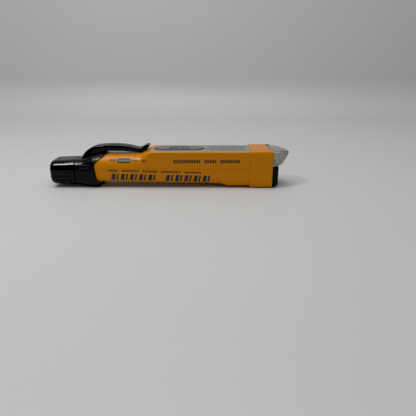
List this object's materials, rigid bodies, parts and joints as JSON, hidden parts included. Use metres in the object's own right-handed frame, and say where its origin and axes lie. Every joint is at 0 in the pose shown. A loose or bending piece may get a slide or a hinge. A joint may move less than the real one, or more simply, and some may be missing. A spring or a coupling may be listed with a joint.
{
  "type": "non contact voltage tester",
  "caption": "Pen-shaped non contact voltage tester with a translucent sensing tip, laser distance window, display, two keys, pocket clip and pull-off battery cap.",
  "frame": {"origin": "centre of the box under the tester, on the surface it lies on", "axes": "+X along the pen towards the sensing tip, +Z out of the front face with the keys and display, +Y across"},
  "size_m": [0.1834, 0.0274, 0.032],
  "materials": {
    "orange_plastic": "satin moulded orange plastic",
    "black_grip": "fine textured black plastic",
    "black_gloss": "polished black plastic",
    "black_bezel": "satin black plastic",
    "smoke_clear": "smoke grey translucent plastic",
    "window_glass": "dark clear window",
    "lens_glass": "clear lens",
    "panel_grey": "fine matt grey panel",
    "surround_dark": "dark key surround",
    "key_grey": "soft grey key",
    "inner_black": "plain black moulding",
    "switch_metal": "tinned sheet",
    "circuit_green": "green solder mask",
    "lcd_glass": "grey green display glass",
    "backlight_white": "white light guide",
    "rubber_strip": "striped connector rubber",
    "laser_brass": "turned brass",
    "cell_wrap": "printed foil sleeve",
    "spring_metal": "nickel plated spring steel",
    "seal_rubber": "black seal rubber",
    "screw_steel": "zinc plated steel",
    "lamp_red": "red lamp body",
    "lamp_green": "green lamp body"
  },
  "bodies": {
    "tester": {"antenna_plate": "spring_metal", "battery_frame": "inner_black", "board_chips": "inner_black", "board_screws": "screw_steel", "buzzer": "inner_black", "cap_seal": "seal_rubber", "clip_root": "black_gloss", "display_window": "window_glass", "front_bezel": "black_bezel", "front_housing": "orange_plastic", "front_panel": "panel_grey", "head_collar": "orange_plastic", "housing_screws": "screw_steel", "indicator_lens": "lamp_green", "key_surround": "surround_dark", "laser_barrel": "laser_brass", "laser_lens": "lens_glass", "lcd_backlight": "backlight_white", "lcd_connector_strips": "rubber_strip", "lcd_glass": "lcd_glass", "main_board": "circuit_green", "measure_switch": "switch_metal", "negative_contact": "spring_metal", "negative_spring": "spring_metal", "optics_frame": "inner_black", "optics_window": "window_glass", "photodetector": "inner_black", "positive_contact": "spring_metal", "power_switch": "switch_metal", "rear_housing": "orange_plastic", "receiver_board": "circuit_green", "receiver_lens": "lens_glass", "sensing_tip": "smoke_clear", "shield_can": "switch_metal", "tail_collar": "black_grip", "tip_led_green": "lamp_green", "tip_led_red": "lamp_red"},
    "power_key": {"power_key": "key_grey", "power_plunger": "inner_black"},
    "measure_key": {"measure_key": "key_grey", "measure_plunger": "inner_black"},
    "battery_cap": {"battery_cap": "black_gloss", "cap_contact": "spring_metal", "cap_spring": "spring_metal"},
    "cell_left": {"cell_left": "cell_wrap"},
    "cell_right": {"cell_right": "cell_wrap"},
    "clip_arm": {"clip_arm": "black_gloss"}
  },
  "joints": [
    {"name": "power_key_press", "type": "slide", "parent": "tester", "child": "power_key", "axis": [0, 0, -1], "range_m": [0, 0.0006], "stiffness_N_per_m": 2000},
    {"name": "measure_key_press", "type": "slide", "parent": "tester", "child": "measure_key", "axis": [0, 0, -1], "range_m": [0, 0.0006], "stiffness_N_per_m": 2000},
    {"name": "cap_slide", "type": "slide", "parent": "tester", "child": "battery_cap", "axis": [-1, 0, 0], "range_m": [0, 0.12]},
    {"name": "cell_left_slide", "type": "slide", "parent": "tester", "child": "cell_left", "axis": [-1, 0, 0], "range_m": [0, 0.06]},
    {"name": "cell_right_slide", "type": "slide", "parent": "tester", "child": "cell_right", "axis": [-1, 0, 0], "range_m": [0, 0.06]},
    {"name": "clip_flex", "type": "hinge", "parent": "tester", "child": "clip_arm", "pos_m": [-0.054, 0, 0.0286], "axis": [0, -1, 0], "range_deg": [0, 5], "stiffness_Nm_per_rad": 4.8}
  ],
  "couplings": [
    {"joint": "cell_left_slide", "follows": "cap_slide", "ratio": 0.5},
    {"joint": "cell_right_slide", "follows": "cap_slide", "ratio": 0.5}
  ]
}
